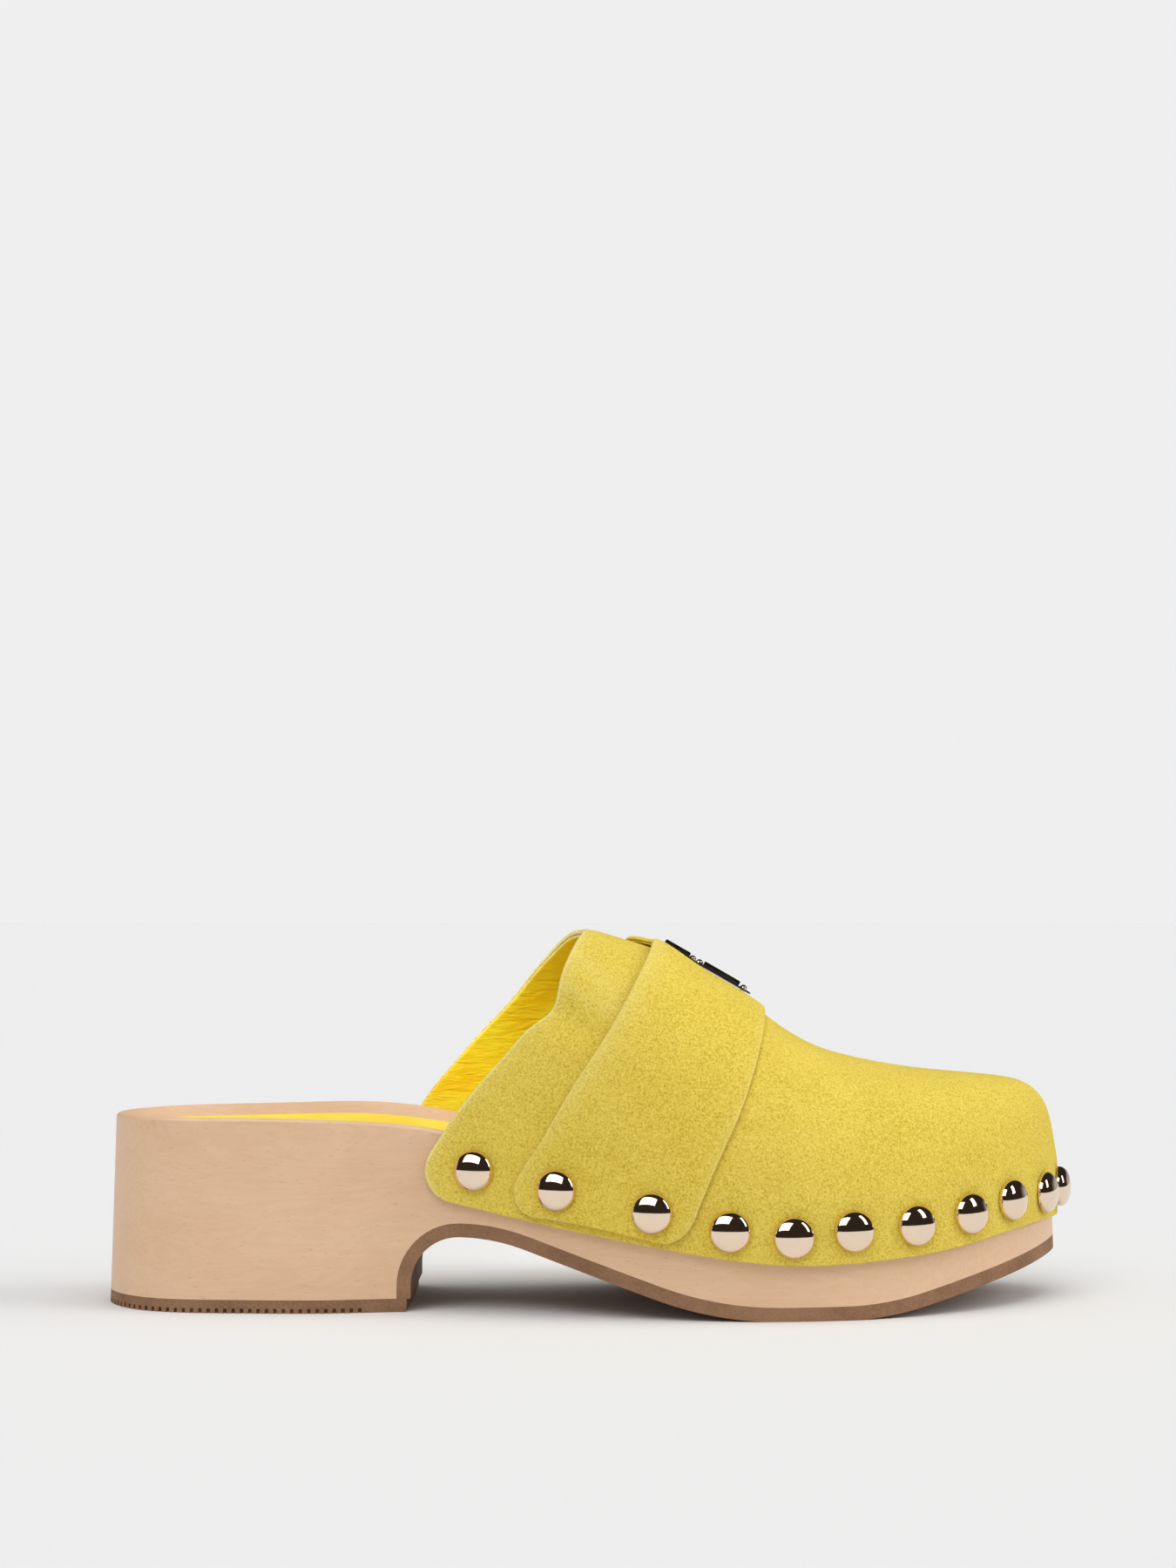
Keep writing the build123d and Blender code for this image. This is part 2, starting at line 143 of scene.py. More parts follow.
def plan_points():
    """Points of the plan outline, from the heel's back along the outer side."""
    centre = HEEL_BACK + HEEL_RADIUS
    heel = [(centre - HEEL_RADIUS * math.cos(math.radians(a)),
             -HEEL_RADIUS * math.sin(math.radians(a))) for a in (0, 28, 56)]
    back = [(x, -y) for x, y in reversed(heel[1:])]
    return heel + OUTER_SIDE + TOE + INNER_SIDE + back


OUTLINE_COUNT = 6001
OUTLINE = spline(plan_points(), OUTLINE_COUNT, periodic=True)
STEPS = np.gradient(OUTLINE, axis=0)
STEPS[0] = STEPS[-1] = OUTLINE[1] - OUTLINE[-2]
OUTWARD = np.stack([STEPS[:, 1], -STEPS[:, 0]], 1) / np.linalg.norm(STEPS, axis=1)[:, None]
RUN = np.concatenate([[0], np.cumsum(np.linalg.norm(np.diff(OUTLINE, axis=0), axis=1))])
TIP = int(np.argmax(OUTLINE[:, 0]))
TIP_X = OUTLINE[TIP, 0]
BACK = int(np.argmin(OUTLINE[:OUTLINE_COUNT // 2, 0]))

rim_line = height_of(RIM)
edge_line = height_of(UPPER_EDGE)
ridge_line = height_of(RIDGE)


def on_outline(run):
    """Places on the plan outline and outward directions, at distances along it."""
    run = np.mod(run, RUN[-1])
    at = np.stack([np.interp(run, RUN, OUTLINE[:, k]) for k in (0, 1)], -1)
    out = np.stack([np.interp(run, RUN, OUTWARD[:, k]) for k in (0, 1)], -1)
    return at, out / np.linalg.norm(out, axis=-1, keepdims=True)


def outer_run(x):
    """Distance along the outline to the outer wall at x."""
    return np.interp(x, OUTLINE[BACK:TIP + 1, 0], RUN[BACK:TIP + 1])


def inner_run(x):
    """Distance along the outline to the inner wall at x."""
    return np.interp(x, OUTLINE[TIP:, 0][::-1], RUN[TIP:][::-1])


def ridge_y(x):
    """Middle of the plan at x, where the upper's ridge runs."""
    return (on_outline(outer_run(x))[0][..., 1] + on_outline(inner_run(x))[0][..., 1]) / 2


# ---------------------------------------------------------------- the upper as a surface
# a runs from the heel to the toe tip. w runs from -1, the outer wall, over the ridge at 0, to 1,
# the inner wall. Ahead of FAN_X the ribs fan round the toe.
FAN_X = 185.0
FAN_REACH = 38.0
ARCH_SHARE = 0.8              # share of w over the arch; the rest runs down the straight wall
WALL_DROP = 34.0
TOE_LEAN = 1.1                # the toe's wall leans in by this much more at the top
W_MM = 120.0                  # about how many mm of leather one unit of w spans, for splines
W_WALK = 110.0                # and for spacing grid lines evenly
RIB_STEPS = 400


def rib_power(a):
    """Squareness of the arch: rounded over the instep, squarer at the toe."""
    return 2.15 + 0.5 * smooth(a, 120, 190) + 2.9 * smooth(a, 200, TIP_X)


def rib_spring(a):
    """Height at which the straight walls end and the arch begins."""
    return 40 - 18 * smooth(a, 100, 190)


def upper_point(a, w):
    """Place on the inside face of the upper's leather, as it lies on the wood's walls."""
    a = np.minimum(np.asarray(a, float), TIP_X)
    w = np.asarray(w, float)
    share = np.clip((a - FAN_X) / (TIP_X - FAN_X), 0, 1)
    behind = np.minimum(a, FAN_X)
    start_out, start_in = outer_run(behind), inner_run(behind)
    run_out = start_out + share * (RUN[TIP] - start_out)
    run_in = start_in + share * (RUN[TIP] - start_in)
    at, out = on_outline(np.where(w < 0, run_out, run_in))
    speed = (RUN[TIP] - outer_run(FAN_X)) / FAN_REACH
    spine_x = behind + FAN_REACH * np.tanh(share * speed)
    spine = np.stack([spine_x, ridge_y(spine_x)], -1)
    power, spring = rib_power(a), rib_spring(a)
    turn = math.pi / 2 * (1 - np.minimum(np.abs(w) / ARCH_SHARE, 1))
    size = (np.cos(turn) ** power + np.sin(turn) ** power) ** (1 / power)
    across, rise = np.cos(turn) / size, np.sin(turn) / size
    below = np.maximum(np.abs(w) - ARCH_SHARE, 0) / (1 - ARCH_SHARE) * WALL_DROP
    rough = spine + (at - spine) * across[..., None]
    slope = (ridge_line(rough[..., 0] + 1) - ridge_line(rough[..., 0] - 1)) / 2
    top = ridge_line(rough[..., 0]) - SUEDE_OUT * np.hypot(1, slope)
    z = spring + (top - spring) * rise - below
    toe_lean = TOE_LEAN * smooth(z, 26, 46) * smooth(a, 205, 245)
    lean = (FLARE * (FLARE_LEVEL - z) - toe_lean) * across
    plan = rough + out * lean[..., None]
    return np.concatenate([plan, z[..., None]], -1)


def upper_normal(a, w):
    """Outward direction of the upper, from small steps along and across it."""
    step_a, step_w = 0.1, 1e-3
    way_a = np.where(np.asarray(a) > TIP_X - 4 * step_a, -1.0, 1.0)
    along = (upper_point(a + way_a * step_a, w) - upper_point(a, w)) * way_a[..., None]
    way_w = np.where(np.asarray(w) < 0, 1.0, -1.0)
    across = (upper_point(a, w + way_w * step_w) - upper_point(a, w)) * way_w[..., None]
    n = np.cross(across, along)
    return -n / np.maximum(np.linalg.norm(n, axis=-1, keepdims=True), 1e-12)


def w_at_height(a, z):
    """How far down the rib at a the height z lies: 0 at the ridge, 1 at the foot of the wall."""
    a = np.atleast_1d(np.asarray(a, float))
    z = np.atleast_1d(np.asarray(z, float))
    steps = np.linspace(0, 1, RIB_STEPS)
    found = []
    for rib, level in zip(a, z):
        heights = upper_point(np.full(RIB_STEPS, rib), -steps)[:, 2]
        found.append(np.interp(-level, -heights, steps))
    return np.array(found)


def side_curve(points, side, count):
    """Side-view points as a curve in (a, w) on one side: -1 outer, 1 inner."""
    p = np.array(points, float)
    w = w_at_height(p[:, 0], p[:, 1])
    w[0] = 0
    scaled = spline(np.stack([p[:, 0], w * W_MM], 1), count)
    return np.stack([scaled[:, 0], side * scaled[:, 1] / W_MM], 1)


def distance_along(curve):
    """Length of an (a, w) curve up to each of its points, in about mm."""
    steps = np.hypot(np.diff(curve[:, 0]), np.diff(curve[:, 1]) * W_WALK)
    return np.concatenate([[0], np.cumsum(steps)])


# ---------------------------------------------------------------- meshes
def to_row(points):
    """Layout millimetres to metres in the shared frame."""
    return (np.asarray(points, float).reshape(-1, 3) + SHIFT) * MM


def new_mesh(name, points, faces, slots=None, materials=(), sharp_angle=None, weld=0.0,
             wear_and_highlight=None):
    """A mesh object from layout points and faces, shaded smooth, normals outwards."""
    mesh = bpy.data.meshes.new(name)
    mesh.from_pydata(to_row(points).tolist(), [], faces)
    for m in materials:
        mesh.materials.append(m)
    if slots is not None:
        mesh.polygons.foreach_set("material_index", np.asarray(slots, np.int32))
    if wear_and_highlight is not None:
        mesh.attributes.new("wear_and_highlight", "FLOAT", "POINT").data.foreach_set("value", wear_and_highlight)
    bm = bmesh.new()
    bm.from_mesh(mesh)
    if weld:
        bmesh.ops.remove_doubles(bm, verts=bm.verts, dist=weld * MM)
    bmesh.ops.recalc_face_normals(bm, faces=bm.faces)
    bm.to_mesh(mesh)
    bm.free()
    mesh.polygons.foreach_set("use_smooth", np.ones(len(mesh.polygons), bool))
    if sharp_angle is not None:
        mesh.set_sharp_from_angle(angle=math.radians(sharp_angle))
    obj = bpy.data.objects.new(name, mesh)
    bpy.context.scene.collection.objects.link(obj)
    return obj


def grid_faces(rows, cols, start=0, close=False):
    """Quads between rows of points; close joins each row's last point to its first."""
    faces = []
    for i in range(rows - 1):
        for j in range(cols if close else cols - 1):
            k = (j + 1) % cols
            a, b = start + i * cols + j, start + i * cols + k
            faces.append((a, b, b + cols, a + cols))
    return faces


EDGE_SHARE = 0.16             # share of the thickness by which a cut edge is worn down
EDGE_SWELL = 0.12             # how far a cut edge swells, as a share of the thickness
FOLD_SWELL = 0.5              # and a folded one
EDGE_STEPS = 5


def shell(name, base, normal, low, high, materials, round_rear=False, open_tip=False, wear_and_highlight_grid=0.0):
    """Closed leather shell over a grid: outer face, cut edges with a slight swell, inner face.

    base and normal are (rows, cols, 3); low and high are how far the two faces stand out.
    The rows run from the rear edge to the front. round_rear gives the rear edge a full round.
    open_tip leaves out the front edge, whose two halves meet on the toe's centre line.
    """
    rows, cols = base.shape[:2]
    outer = base + normal * np.broadcast_to(high, (rows, cols))[..., None]
    inner = base + normal * np.broadcast_to(low, (rows, cols))[..., None]
    if open_tip:
        for face in (outer, inner):
            face[-1] = (face[-1] + face[-1, ::-1]) / 2
    lowered = outer - (outer - inner) * EDGE_SHARE
    outer[0] = lowered[0]
    outer[:, 0] = lowered[:, 0]
    outer[:, -1] = lowered[:, -1]
    if not open_tip:
        outer[-1] = lowered[-1]
    points = [outer.reshape(-1, 3), inner.reshape(-1, 3)]
    faces = grid_faces(rows, cols)
    slots = [1 if i == 0 or j in (0, cols - 2) or (i == rows - 2 and not open_tip) else 0
             for i in range(rows - 1) for j in range(cols - 1)]
    more = grid_faces(rows, cols, rows * cols)
    faces += [tuple(reversed(f)) for f in more]
    slots += [2] * len(more)
    rim = [(i, 0) for i in range(rows - 1, -1, -1)] + [(0, j) for j in range(1, cols)]
    rim += [(i, cols - 1) for i in range(1, rows)]
    if not open_tip:
        rim += [(rows - 1, j) for j in range(cols - 2, 0, -1)]
    inside = [(min(max(i, 1), rows - 2), min(max(j, 1), cols - 2)) for i, j in rim]
    if open_tip:
        inside = [(i if i == rows - 1 else k[0], k[1]) for (i, j), k in zip(rim, inside)]
    ring = np.array([outer[i, j] for i, j in rim])
    ring_in = np.array([inner[i, j] for i, j in rim])
    away = ring - np.array([outer[i, j] for i, j in inside])
    away /= np.maximum(np.linalg.norm(away, axis=1, keepdims=True), 1e-9)
    thick = np.linalg.norm(ring - ring_in, axis=1)
    swell = np.array([FOLD_SWELL if (round_rear and i == 0) else EDGE_SWELL for i, j in rim])
    mid = []
    for k in range(1, EDGE_STEPS):
        q = k / EDGE_STEPS
        out = np.sin(math.pi * q) * swell * thick
        mid.append(ring * (1 - q) + ring_in * q + away * out[:, None])
    start = 2 * rows * cols
    points += mid
    loop = [i * cols + j for i, j in rim]
    layers = [loop]
    layers += [[start + k * len(rim) + n for n in range(len(rim))] for k in range(EDGE_STEPS - 1)]
    layers.append([rows * cols + n for n in loop])
    count = len(rim) if not open_tip else len(rim) - 1
    for a, b in zip(layers, layers[1:]):
        for n in range(count):
            m = (n + 1) % len(rim)
            faces.append((a[n], b[n], b[m], a[m]))
            slots.append(1)
    points = np.vstack(points)
    wear_and_highlight = np.zeros(len(points))
    wear_and_highlight[:rows * cols] = (wear_and_highlight_grid + np.zeros((rows, cols))).ravel()
    return new_mesh(name, points, faces, slots, materials, weld=2e-3 if open_tip else 0.0,
                    wear_and_highlight=wear_and_highlight)


# ---------------------------------------------------------------- materials
def srgb(*levels):
    """Linear colour from three screen levels of 0 to 255."""
    shares = [level / 255 for level in levels]
    linear = [c / 12.92 if c <= 0.04045 else ((c + 0.055) / 1.055) ** 2.4 for c in shares]
    return (*linear, 1.0)


class Nodes:
    """Short helpers for building one node material."""

    def __init__(self, name):
        self.material = bpy.data.materials.new(name)
        self.material.use_nodes = True
        self.tree = self.material.node_tree
        self.shader = self.tree.nodes["Principled BSDF"]
        self.place = self.tree.nodes.new("ShaderNodeTexCoord").outputs["Object"]

    def link(self, a, b):
        self.tree.links.new(a, b)

    def add(self, kind, **values):
        node = self.tree.nodes.new(kind)
        for key, value in values.items():
            setattr(node, key, value)
        return node

    def stretch(self, scale, turn=(0, 0, 0)):
        """The object's own coordinates, scaled and turned by degrees."""
        node = self.add("ShaderNodeMapping")
        node.inputs["Scale"].default_value = scale
        node.inputs["Rotation"].default_value = [math.radians(t) for t in turn]
        self.link(self.place, node.inputs["Vector"])
        return node.outputs["Vector"]

    def noise(self, size_mm, detail=3.0, rough=0.55, source=None, distortion=0.0):
        node = self.add("ShaderNodeTexNoise")
        node.inputs["Scale"].default_value = 1 / (size_mm * MM)
        node.inputs["Detail"].default_value = detail
        node.inputs["Roughness"].default_value = rough
        node.inputs["Distortion"].default_value = distortion
        self.link(source or self.place, node.inputs["Vector"])
        return node.outputs["Fac"]

    def ramp(self, value, stops):
        node = self.add("ShaderNodeValToRGB")
        ramp = node.color_ramp
        while len(ramp.elements) < len(stops):
            ramp.elements.new(0.5)
        for element, (at, colour) in zip(ramp.elements, stops):
            element.position = at
            element.color = colour
        self.link(value, node.inputs["Fac"])
        return node.outputs["Color"]

    def mix(self, share, a, b, mode="MIX"):
        node = self.add("ShaderNodeMix", data_type="RGBA", blend_type=mode)
        for socket, value in ((node.inputs[0], share), (node.inputs[6], a), (node.inputs[7], b)):
            if isinstance(value, (float, int, tuple)):
                socket.default_value = value
            else:
                self.link(value, socket)
        return node.outputs[2]

    def maths(self, operation, a, b=0.0):
        node = self.add("ShaderNodeMath", operation=operation)
        for socket, value in zip(node.inputs, (a, b)):
            if isinstance(value, (float, int)):
                socket.default_value = value
            else:
                self.link(value, socket)
        return node.outputs[0]

    def spread(self, value, low, high):
        """The middle half of a noise, spread from low to high."""
        node = self.add("ShaderNodeMapRange")
        node.inputs["To Min"].default_value = low
        node.inputs["To Max"].default_value = high
        node.inputs["From Min"].default_value = 0.25
        node.inputs["From Max"].default_value = 0.75
        self.link(value, node.inputs["Value"])
        return node.outputs["Result"]

    def bump(self, height, depth_mm, before=None):
        node = self.add("ShaderNodeBump")
        node.inputs["Strength"].default_value = 1.0
        node.inputs["Distance"].default_value = depth_mm * MM
        self.link(height, node.inputs["Height"])
        if before is not None:
            self.link(before, node.inputs["Normal"])
        return node.outputs["Normal"]

    def finish(self, colour=None, rough=None, normal=None, **constants):
        for name, value in (("Base Color", colour), ("Roughness", rough), ("Normal", normal)):
            if value is None:
                continue
            if isinstance(value, (float, tuple)):
                self.shader.inputs[name].default_value = value
            else:
                self.link(value, self.shader.inputs[name])
        for name, value in constants.items():
            self.shader.inputs[name.replace("_", " ")].default_value = value
        return self.material


def suede(name, light, mid, dark, sheen):
    """Brushed leather: short nap, fine grain, and paler where the mesh's per-point attribute is
    high, which holds real wear along cut edges and a painted highlight along the strap's folded
    rear edge.
    """
    n = Nodes(name)
    grain = n.noise(0.5, detail=5, rough=0.7)
    nap = n.noise(1.5, detail=3, source=n.stretch((1, 1, 1.5), (0, 35, 0)))
    patches = n.noise(17.0, detail=2)
    tone = n.maths("ADD", n.maths("MULTIPLY", grain, 0.80), n.maths("MULTIPLY", nap, 0.12))
    tone = n.maths("ADD", tone, n.maths("MULTIPLY", patches, 0.08))
    colour = n.ramp(tone, [(0.38, dark), (0.5, mid), (0.62, light)])
    wear_and_highlight = n.add("ShaderNodeAttribute", attribute_name="wear_and_highlight").outputs["Fac"]
    wear_and_highlight_share = n.maths("MULTIPLY", wear_and_highlight, n.spread(grain, 0.35, 0.75))
    # Real edge wear and painted highlight: the suede pales towards this light colour where the
    # attribute is high.
    colour = n.mix(wear_and_highlight_share, colour, srgb(247, 230, 142))
    fine = n.noise(0.34, detail=2, rough=0.7)
    normal = n.bump(patches, 0.4)
    normal = n.bump(nap, 0.10, normal)
    normal = n.bump(grain, 0.26, normal)
    normal = n.bump(fine, 0.1, normal)
    rough = n.spread(grain, 0.86, 1.0)
    return n.finish(colour, rough, normal, Sheen_Weight=sheen, Sheen_Roughness=0.45,
                    Sheen_Tint=light, Specular_IOR_Level=0.2)


def make_materials():
    """All materials, by short name."""
    m = {}
    m["suede"] = suede("suede_yellow", srgb(243, 220, 106), srgb(230, 203, 76),
                       srgb(196, 162, 44), 0.3)
    m["suede_edge"] = suede("suede_cut_edge", srgb(250, 238, 176), srgb(240, 222, 140),
                            srgb(214, 188, 100), 0.15)
    # Paler than the suede: the cut edge's own colour on the front edge and the ends, and a painted
    # highlight on the folded rear edge.
    m["strap_edge"] = suede("strap_edge_cut_and_highlight", srgb(246, 228, 124), srgb(238, 214, 96),
                            srgb(208, 178, 62), 0.2)

    m["lining"] = lining_leather()
    m["sock"] = sock_leather()
    m["foam"] = crumbly("foam", 0.6, srgb(214, 196, 128), srgb(238, 224, 164), 0.9)
    m["puff"] = crumbly("felt_puff", 0.8, srgb(190, 178, 150), srgb(216, 206, 182), 0.95)
    m["wood"] = wood()
    m["rubber"] = rubber()
    m["stud"] = polished("stud_metal", (0.90, 0.73, 0.57, 1), 0.05)
    m["ornament"] = polished("ornament_metal", (0.86, 0.76, 0.62, 1), 0.12)
    m["dark_metal"] = polished("darkened_metal", (0.085, 0.070, 0.056, 1), 0.22)
    return m


def lining_leather():
    """Smooth yellow leather with soft creases."""
    n = Nodes("lining_leather")
    crease = n.noise(2.6, detail=3, source=n.stretch((0.35, 1, 1.5), (0, 40, 0)), distortion=0.6)
    pores = n.noise(0.35, detail=2)
    colour = n.ramp(n.noise(9, detail=2), [(0.3, srgb(255, 214, 10)), (0.7, srgb(255, 238, 44))])
    normal = n.bump(pores, 0.03, n.bump(crease, 0.7))
    return n.finish(colour, n.spread(pores, 0.38, 0.55), normal, Specular_IOR_Level=0.4)


def sock_leather():
    """Smooth yellow leather, pressed flat."""
    n = Nodes("sock_leather")
    pores = n.noise(0.4, detail=2)
    colour = n.ramp(n.noise(14, detail=2), [(0.3, srgb(255, 222, 62)), (0.7, srgb(255, 232, 92))])
    return n.finish(colour, n.spread(pores, 0.42, 0.58), n.bump(pores, 0.05),
                    Specular_IOR_Level=0.4)


def crumbly(name, size, dark, light, rough):
    """Foam or felt, with cells or fibres of the given size."""
    n = Nodes(name)
    cells = n.noise(size, detail=3)
    colour = n.ramp(cells, [(0.3, dark), (0.7, light)])
    return n.finish(colour, rough, n.bump(cells, 0.2))


def wood():
    """Close pale hardwood: the grain runs from heel to toe, so its lines are long and faint."""
    n = Nodes("pale_wood")
    board = (0, 11, 5)
    along = n.stretch((0.16, 1, 1), board)
    rings = n.noise(9.0, detail=3, source=along, distortion=0.8)
    lines = n.maths("SINE", n.maths("MULTIPLY", rings, 60.0))
    streak = n.noise(1.3, detail=4, rough=0.6, source=n.stretch((0.07, 1, 1), board))
    pores = n.noise(0.42, detail=2, rough=0.7, source=n.stretch((0.13, 1, 1), board))
    cloud = n.noise(26, detail=3, source=n.stretch((0.5, 1, 1)))
    colour = n.ramp(streak, [(0.3, srgb(224, 184, 147)), (0.7, srgb(231, 194, 158))])
    colour = n.mix(0.5, colour, n.ramp(cloud, [(0.32, srgb(222, 182, 144)),
                                               (0.68, srgb(233, 198, 165))]))
    shade = n.ramp(lines, [(0.0, (0.90, 0.86, 0.82, 1)), (0.25, (1, 1, 1, 1))])
    colour = n.mix(0.22, colour, shade, "MULTIPLY")
    dots = n.ramp(pores, [(0.30, (0.70, 0.58, 0.46, 1)), (0.37, (1, 1, 1, 1))])
    colour = n.mix(0.45, colour, dots, "MULTIPLY")
    normal = n.bump(streak, 0.03, n.bump(pores, 0.02))
    return n.finish(colour, n.spread(streak, 0.36, 0.48), normal, Specular_IOR_Level=0.55)


def rubber():
    """Matt brown rubber with light scuffs."""
    n = Nodes("brown_rubber")
    grain = n.noise(0.5, detail=3)
    scuffs = n.noise(7, detail=3, source=n.stretch((0.5, 1, 1)))
    tone = n.maths("ADD", n.maths("MULTIPLY", grain, 0.5), n.maths("MULTIPLY", scuffs, 0.5))
    colour = n.ramp(tone, [(0.35, srgb(126, 90, 64)), (0.65, srgb(158, 120, 90))])
    return n.finish(colour, n.spread(grain, 0.6, 0.8), n.bump(grain, 0.06),
                    Specular_IOR_Level=0.3)


def polished(name, colour, rough):
    """Metal with faint smears."""
    n = Nodes(name)
    smears = n.noise(3.0, detail=3)
    tint = n.ramp(smears, [(0.3, tuple(c * 0.96 for c in colour[:3]) + (1,)), (0.7, colour)])
    return n.finish(tint, n.spread(smears, rough * 0.7, rough * 1.4), n.bump(smears, 0.004),
                    Metallic=1.0)


# ---------------------------------------------------------------- pieces
def ride(obj, node):
    """The piece moves with the one body and stands for its CAD node."""
    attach(obj, "root")
    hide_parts(node)


def stud_frames():
    """Name, dome top, axis and length of each nail, read from the CAD nail's top and point."""
    found = []
    for name, obj in sorted(frame["nodes"].items()):
        if name.startswith("stud_"):
            co = np.array([v.co for v in obj.data.vertices]) / MM - SHIFT
            middle = co.mean(0)
            far = co[np.argmax(np.linalg.norm(co - middle, axis=1))]
            near = co[np.argmax(np.linalg.norm(co - far, axis=1))]
            length = np.linalg.norm(near - far)
            found.append((name, near, (near - far) / length, length))
    return found


STUDS = stud_frames()
STUD_RISE = 3.1
STUD_RADIUS = 5.3
STUD_GAP = 0.12               # between the leather's true face and the dome's base
DOME_POWER = 0.86             # below 1 the dome is flatter on top and steeper at its rim
DIMPLE_SEAT = 0.5
DIMPLE_WIDTH = 5.2
RING_RADIUS = 8.2             # the leather swells in a ring round each dimple,
RING_WIDTH = 2.4
RING_SHARE = 0.35             # by this share of the dimple's depth


def dimples(points, depth):
    """How far the leather is pulled in round each nail, and swells a little just outside it."""
    total = np.zeros(points.shape[:-1])
    for _, top, axis, _ in STUDS:
        seat = top - axis * (STUD_RISE + DIMPLE_SEAT)
        d = np.linalg.norm(points - seat, axis=-1)
        ring = RING_SHARE * bump_at(d - RING_RADIUS, RING_WIDTH)
        total += depth * (-bump_at(d, DIMPLE_WIDTH) + ring)
    return total


FIRST_RIB = 0.0048            # rows and columns this close to an edge keep it crisp,
LAST_COLUMN = 0.003           # as shares of the vamp's length and of half its width
STRAP_EDGE_ROW = 0.008
STRAP_LAST_COLUMN = 0.004


def even(count, *extra):
    """Even steps from 0 to 1, with the extra places among them."""
    return np.sort(np.concatenate([np.linspace(0, 1, count), extra]))


def share_down(curve):
    """How far down the vamp each point of a collar curve lies: 0 at the ridge, 1 at the edge."""
    foot = w_at_height(curve[:, 0], edge_line(curve[:, 0]))
    share = np.maximum.accumulate(np.clip(curve[:, 1] / foot, 0, 1))
    return share / share[-1]


def vamp_grid(margin=0.0, rows=190, cols=181):
    """Grid over the vamp from the collar to the toe's centre line."""
    near = side_curve(NEAR_COLLAR, 1, 1200)
    far = side_curve(FAR_COLLAR, 1, 1200)
    walk = distance_along(near)
    place = even(cols // 2 + 1, 1 - LAST_COLUMN) * walk[-1]
    level = np.interp(place, walk, share_down(near))
    start_near = np.interp(place, walk, near[:, 0])
    start_far = np.interp(level, share_down(far), far[:, 0])
    down = np.concatenate([-level[::-1], level[1:]])
    start = np.concatenate([start_near[::-1], start_far[1:]]) + margin
    row = even(rows, FIRST_RIB)
    a = start[None, :] + (TIP_X - start[None, :]) * row[:, None]
    side = np.sign(down)[None, :] + 0 * a
    return a, down[None, :] * foot_of(a, side)


def foot_table(side):
    """w of the vamp's lower edge on each rib of FOOT_A, on one side."""
    found = []
    steps = np.linspace(0, 1, RIB_STEPS)
    for a in FOOT_A:
        p = upper_point(np.full(RIB_STEPS, a), side * steps)
        gap = p[:, 2] - edge_line(p[:, 0])
        found.append(np.interp(0, -gap, steps))
    return np.array(found)


FOOT_A = np.linspace(60, TIP_X, 260)
OUTER_FOOT = foot_table(-1)
INNER_FOOT = foot_table(1)


def foot_of(a, side):
    """How far down the rib the vamp's lower edge lies, on either side."""
    outer = np.interp(a, FOOT_A, OUTER_FOOT)
    inner = np.interp(a, FOOT_A, INNER_FOOT)
    return np.where(side < 0, outer, inner)


VAMP_DIMPLE = 0.42
STRAP_DIMPLE = 0.4
LAYER_GAP = 0.05
SKIVE = 0.9
LINING_SETBACK = 0.35         # the lining ends this far inside the suede's collar edge


def collar_fold(points, side_outer):
    """The crease that runs in from the kink of the outer collar edge, as an inward push."""
    kink = np.array([116.5, 76.5])
    rel = np.stack([points[..., 0], points[..., 2]], -1) - kink
    along = rel @ np.array([0.80, -0.60])
    across = rel @ np.array([0.60, 0.80])
    reach = bump_at(np.maximum(along, 0), 16) * bump_at(np.minimum(along, 0), 6)
    hollow = -1.5 * bump_at(across - 1.0, 4.2)
    swell = 0.9 * bump_at(across - 9.5, 5.0)
    return np.where(side_outer, (hollow + swell) * reach, 0.0)


def build_vamp(m):
    """Suede and lining. The suede is skived thin along the toe's lower edge."""
    a, w = vamp_grid()
    base, normal = upper_point(a, w), upper_normal(a, w)
    relief = dimples(base + normal * SUEDE_OUT, VAMP_DIMPLE) + collar_fold(base, w < 0)
    base = base + normal * relief[..., None]
    skived = smooth(a, 205, 242) * (1 - smooth(base[..., 2], 20, 31))
    # Paler in a narrow band along the collar's cut edge, the leather's own colour there, and paler
    # where the leather stands out by about half a millimetre, round the nails and on the collar
    # fold.
    wear_and_highlight = 0.8 * np.exp(-(a - a[:1]) / 1.8) + 0.35 * bump_at(relief - 0.45, 0.35)
    obj = shell("suede_vamp", base, normal, LINING + LAYER_GAP, SUEDE_OUT - SKIVE * skived,
                [m["suede"], m["suede_edge"], m["suede_edge"]], open_tip=True, wear_and_highlight_grid=wear_and_highlight)
    ride(obj, "vamp")

    a, w = vamp_grid(margin=LINING_SETBACK, rows=120, cols=121)
    base, normal = upper_point(a, w), upper_normal(a, w)
    base = base + normal * collar_fold(base, w < 0)[..., None]
    obj = shell("leather_lining", base, normal, 0.06, LINING,
                [m["lining"], m["suede_edge"], m["lining"]], open_tip=True)
    ride(obj, "vamp_lining")


def build_puff(m):
    """Felt stiffener in the toe, between lining and suede."""
    rows, cols = 40, 101
    start_x, reach_down = 218, 0.97
    a = np.linspace(start_x, TIP_X, rows)[:, None] + np.zeros((1, cols))
    down = np.linspace(-reach_down, reach_down, cols)[None, :] + 0 * a
    w = down * foot_of(a, down)
    obj = shell("felt_toe_puff", upper_point(a, w), upper_normal(a, w), LINING + 0.005,
                LINING + 0.04, [m["puff"]] * 3, open_tip=True)
    ride(obj, "toe_puff")


